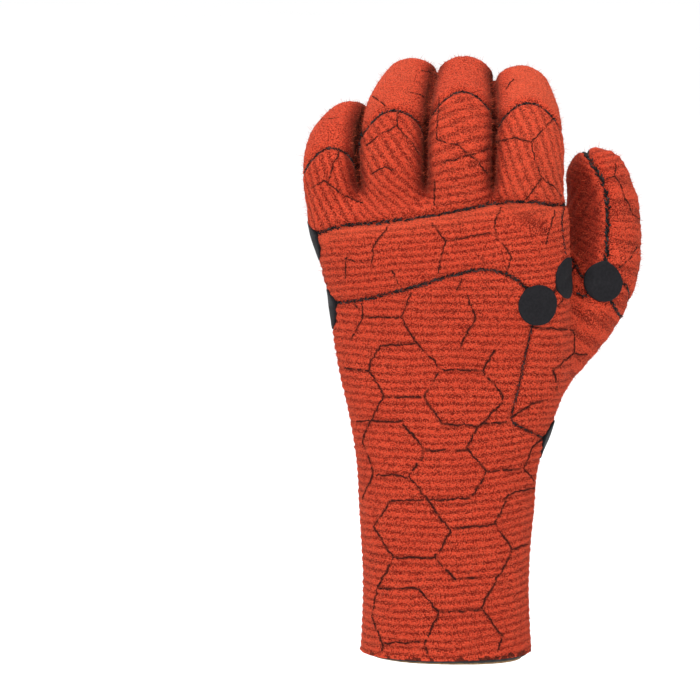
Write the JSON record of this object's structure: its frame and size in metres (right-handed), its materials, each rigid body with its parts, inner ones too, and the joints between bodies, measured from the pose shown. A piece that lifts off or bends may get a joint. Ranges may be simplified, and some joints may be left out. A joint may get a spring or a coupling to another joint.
{
  "type": "diving glove",
  "caption": "Thick ribbed diving glove turned lining side out, fingers curled towards the palm, round patches over the seam junctions, open at the wrist.",
  "frame": {"origin": "centre of the wrist opening, in the plane of the cuff rim", "axes": "+Z from the cuff to the fingers, -Y out of the back of the hand, +X towards the thumb"},
  "size_m": [0.1514, 0.0755, 0.2667],
  "materials": {
    "plush_lining": "ribbed brushed plush, matt",
    "seam_patch": "smooth matt rubberised fabric",
    "thread": "matt twisted polyester",
    "neoprene": "matt cut foam edge"
  },
  "bodies": {
    "root": {"back_panel": "plush_lining", "knuckle_band": "plush_lining", "index_finger_back": "plush_lining", "middle_finger_back": "plush_lining", "ring_finger_back": "plush_lining", "little_finger_back": "plush_lining", "index_fingertip": "plush_lining", "middle_fingertip": "plush_lining", "ring_fingertip": "plush_lining", "little_fingertip": "plush_lining", "palm_panel": "plush_lining", "palm_cuff": "plush_lining", "thumb_inner": "plush_lining", "thumb_outer": "plush_lining", "thumb_base": "plush_lining", "patch_back": "seam_patch", "patch_web": "seam_patch", "patch_thumb": "seam_patch", "patch_wrist": "seam_patch", "patch_side_low": "seam_patch", "patch_side_high": "seam_patch", "patch_palm_wrist": "seam_patch", "patch_palm_thumb": "seam_patch"}
  },
  "joints": []
}
